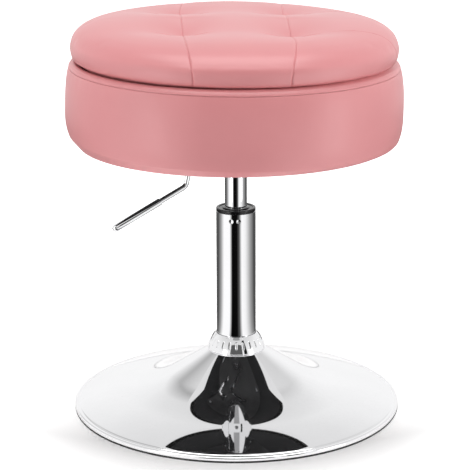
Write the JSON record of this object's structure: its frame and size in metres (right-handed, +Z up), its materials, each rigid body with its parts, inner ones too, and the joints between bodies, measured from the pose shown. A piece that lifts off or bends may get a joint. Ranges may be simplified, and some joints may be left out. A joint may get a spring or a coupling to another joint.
{
  "type": "swivel stool",
  "caption": "Round swivel stool with a tufted lift-off lid over a padded storage box, on a chromed gas-lift column with a release lever and a trumpet floor plate.",
  "frame": {"origin": "on the floor, under the column's axis", "axes": "+Z up along the column; -Y is the front in the picture, and the lever points to -X and -Y"},
  "size_m": [0.4192, 0.419, 0.5048],
  "materials": {
    "chrome": "polished",
    "steel": "satin",
    "black_steel": "satin",
    "black_plastic": "satin",
    "chrome_plastic": "polished",
    "rubber": "matte",
    "pink_leatherette": "satin",
    "foam": "matte",
    "lining": "matte",
    "board": "matte"
  },
  "bodies": {
    "base": {"base_shell": "chrome", "floor_ring": "rubber", "neck_socket": "black_steel", "column_tube": "chrome", "tube_end_plate": "steel", "column_bolts": "steel", "guide_bush": "black_plastic", "trim_collar": "chrome_plastic", "lower_race": "steel"},
    "bearing": {"ball_cage": "black_plastic", "bearing_balls": "chrome"},
    "spindle": {"upper_race": "steel", "bump_stop": "rubber", "piston_rod": "chrome", "piston": "steel", "piston_seal": "rubber", "rod_washer": "steel", "rod_clip": "black_steel"},
    "seat": {"gas_cylinder": "chrome", "rod_gland": "steel", "valve_body": "steel", "seat_plate": "black_steel", "taper_socket": "black_steel", "pivot_pin": "steel", "pivot_clips": "steel", "plate_screws": "steel", "box_floor": "board", "box_wall": "board", "box_foam": "foam", "box_cover": "pink_leatherette", "rim_band": "pink_leatherette", "box_lining": "lining", "floor_lining": "lining", "dust_cover": "lining"},
    "lever": {"lever_rod": "chrome", "lever_grip": "chrome_plastic"},
    "release_pin": {"release_pin": "steel"},
    "lid": {"lid_board": "board", "lid_foam": "foam", "lid_cover": "pink_leatherette", "lid_ring": "board", "lid_lining": "lining", "tuft_anchors": "black_plastic"}
  },
  "joints": [
    {"name": "swivel", "type": "hinge", "parent": "base", "child": "spindle", "pos_m": [0, 0, 0.03], "axis": [0, 0, 1], "continuous": true},
    {"name": "bearing_roll", "type": "hinge", "parent": "base", "child": "bearing", "pos_m": [0, 0, 0.0265], "axis": [0, 0, 1], "continuous": true},
    {"name": "lift", "type": "slide", "parent": "spindle", "child": "seat", "axis": [0, 0, 1], "range_m": [-0.038, 0.08]},
    {"name": "lever_pull", "type": "hinge", "parent": "seat", "child": "lever", "pos_m": [-0.02944, -0.017, 0.3349], "axis": [-0.5, 0.866, 0], "range_deg": [0, 6], "stiffness_Nm_per_rad": 2, "springref_deg": -11.46},
    {"name": "pin_press", "type": "slide", "parent": "seat", "child": "release_pin", "axis": [0, 0, -1], "range_m": [0, 0.0036]},
    {"name": "lid_lift", "type": "slide", "parent": "seat", "child": "lid", "axis": [0, 0, 1], "range_m": [0, 0.25]}
  ],
  "couplings": [
    {"joint": "bearing_roll", "follows": "swivel", "ratio": 0.5},
    {"joint": "pin_press", "follows": "lever_pull", "m_per_rad": 0.034}
  ]
}
